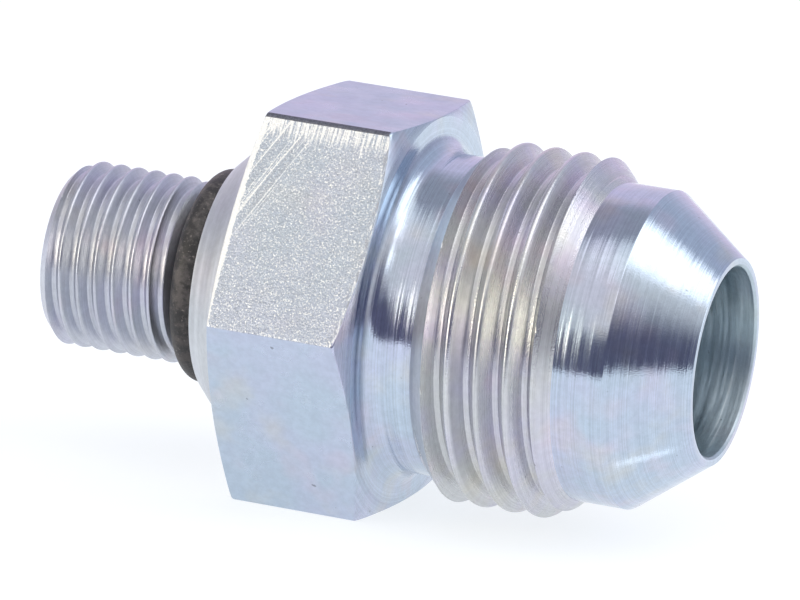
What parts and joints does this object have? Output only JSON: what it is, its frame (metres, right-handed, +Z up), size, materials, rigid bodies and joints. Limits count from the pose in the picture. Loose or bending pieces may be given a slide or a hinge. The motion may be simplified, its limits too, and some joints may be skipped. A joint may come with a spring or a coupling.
{
  "type": "straight adapter fitting",
  "caption": "Straight hydraulic adapter: 37 degree flare end, hexagon, and a metric stud end sealed by an O-ring.",
  "frame": {"origin": "on the axis, in the plane of the seat face that meets the port", "axes": "+X along the axis towards the flare nose, +Z up, normal to the top flat of the hexagon"},
  "size_m": [0.0364, 0.0236, 0.0206],
  "materials": {
    "zinc_plated_steel": "bright zinc plate, faintly blue and iridescent",
    "rubber_ring": "matt black, a little dusty"
  },
  "bodies": {
    "root": {"adapter_body": "zinc_plated_steel", "o_ring": "rubber_ring"}
  },
  "joints": []
}
